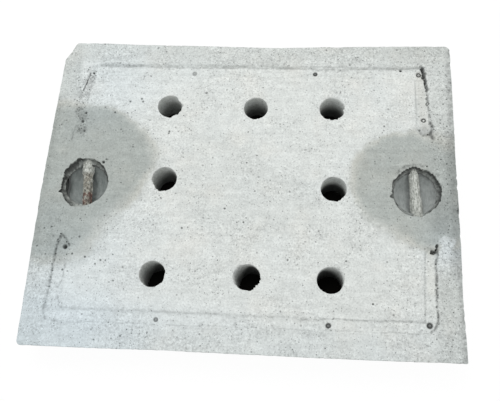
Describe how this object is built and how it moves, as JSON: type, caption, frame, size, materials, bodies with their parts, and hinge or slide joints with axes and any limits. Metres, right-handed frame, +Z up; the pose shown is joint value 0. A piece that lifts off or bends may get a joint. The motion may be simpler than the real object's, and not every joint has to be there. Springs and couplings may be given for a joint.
{
  "type": "concrete manhole cover",
  "caption": "Rectangular precast concrete cover slab with round drain holes, a shallow border channel and two lifting pockets crossed by ribbed steel bars.",
  "frame": {"origin": "middle of the underside, the face that rests on the manhole's frame or on the ground", "axes": "+X along the long sides, +Y towards the back edge in the picture, +Z up out of the top face with the lifting pockets"},
  "size_m": [0.7594, 0.5994, 0.075],
  "materials": {
    "concrete": "pale trowelled concrete, pitted and speckled",
    "bowl_plastic": "smooth dark grey, dusted with cement",
    "bar_steel": "ribbed bar, crusted with mortar and rusty in places"
  },
  "bodies": {
    "root": {"cover_slab": "concrete", "left_pocket_bowl": "bowl_plastic", "right_pocket_bowl": "bowl_plastic", "left_lift_bar": "bar_steel", "right_lift_bar": "bar_steel"}
  },
  "joints": []
}
